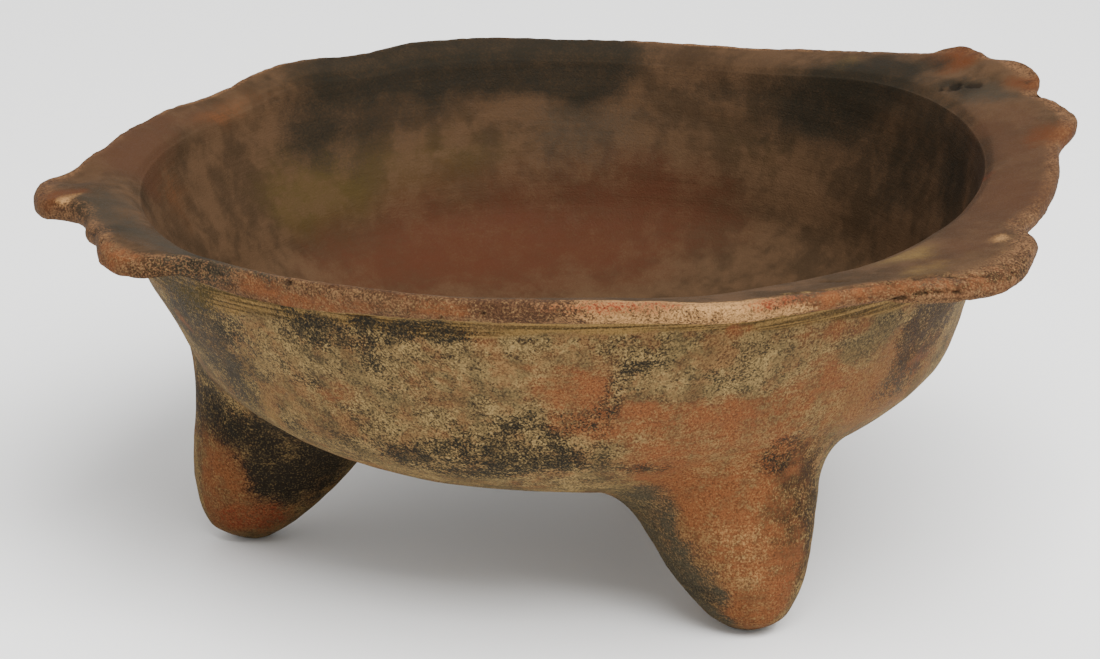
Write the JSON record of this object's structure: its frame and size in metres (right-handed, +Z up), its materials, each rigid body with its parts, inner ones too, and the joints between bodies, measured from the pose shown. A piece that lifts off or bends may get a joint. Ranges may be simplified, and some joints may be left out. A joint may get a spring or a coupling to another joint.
{
  "type": "tripod rattle bowl",
  "caption": "Hand-built clay bowl with a flaring rim, pinched lugs along the lip and hollow cone legs that hold loose rattle pellets.",
  "frame": {"origin": "on the ground under the middle of the whole bowl's box", "axes": "+Z up, +X from the large lug towards the pointed lug, +Y away from the front leg"},
  "size_m": [0.2478, 0.2236, 0.1037],
  "materials": {
    "bowl_clay": "unglazed burnished earthenware, mottled by the fire",
    "rim_clay": "unglazed burnished earthenware, worn along the lip",
    "lug_clay": "unglazed burnished earthenware, worn at the tips",
    "leg_clay": "unglazed smoothed earthenware with fire clouds",
    "pellet_clay": "rough fired clay"
  },
  "bodies": {
    "vessel": {"bowl_body": "bowl_clay", "rim_coil": "rim_clay", "lug_left": "lug_clay", "lobe_left": "lug_clay", "lobe_front_right": "lug_clay", "lug_right": "lug_clay", "nub_right": "lug_clay", "nub_back_right": "lug_clay", "leg_front": "leg_clay", "leg_left": "leg_clay", "leg_back": "leg_clay"},
    "pellet_front_1_body": {"pellet_front_1": "pellet_clay"},
    "pellet_front_2_body": {"pellet_front_2": "pellet_clay"},
    "pellet_front_3_body": {"pellet_front_3": "pellet_clay"},
    "pellet_left_1_body": {"pellet_left_1": "pellet_clay"},
    "pellet_left_2_body": {"pellet_left_2": "pellet_clay"},
    "pellet_left_3_body": {"pellet_left_3": "pellet_clay"},
    "pellet_back_1_body": {"pellet_back_1": "pellet_clay"},
    "pellet_back_2_body": {"pellet_back_2": "pellet_clay"},
    "pellet_back_3_body": {"pellet_back_3": "pellet_clay"}
  },
  "joints": [
    {"name": "pellet_front_1_hop", "type": "slide", "parent": "vessel", "child": "pellet_front_1_body", "axis": [0, 0, 1], "range_m": [0, 0.02]},
    {"name": "pellet_front_2_hop", "type": "slide", "parent": "vessel", "child": "pellet_front_2_body", "axis": [0, 0, 1], "range_m": [0, 0.02]},
    {"name": "pellet_front_3_hop", "type": "slide", "parent": "vessel", "child": "pellet_front_3_body", "axis": [0, 0, 1], "range_m": [0, 0.02]},
    {"name": "pellet_left_1_hop", "type": "slide", "parent": "vessel", "child": "pellet_left_1_body", "axis": [0, 0, 1], "range_m": [0, 0.02]},
    {"name": "pellet_left_2_hop", "type": "slide", "parent": "vessel", "child": "pellet_left_2_body", "axis": [0, 0, 1], "range_m": [0, 0.02]},
    {"name": "pellet_left_3_hop", "type": "slide", "parent": "vessel", "child": "pellet_left_3_body", "axis": [0, 0, 1], "range_m": [0, 0.02]},
    {"name": "pellet_back_1_hop", "type": "slide", "parent": "vessel", "child": "pellet_back_1_body", "axis": [0, 0, 1], "range_m": [0, 0.02]},
    {"name": "pellet_back_2_hop", "type": "slide", "parent": "vessel", "child": "pellet_back_2_body", "axis": [0, 0, 1], "range_m": [0, 0.02]},
    {"name": "pellet_back_3_hop", "type": "slide", "parent": "vessel", "child": "pellet_back_3_body", "axis": [0, 0, 1], "range_m": [0, 0.02]}
  ]
}
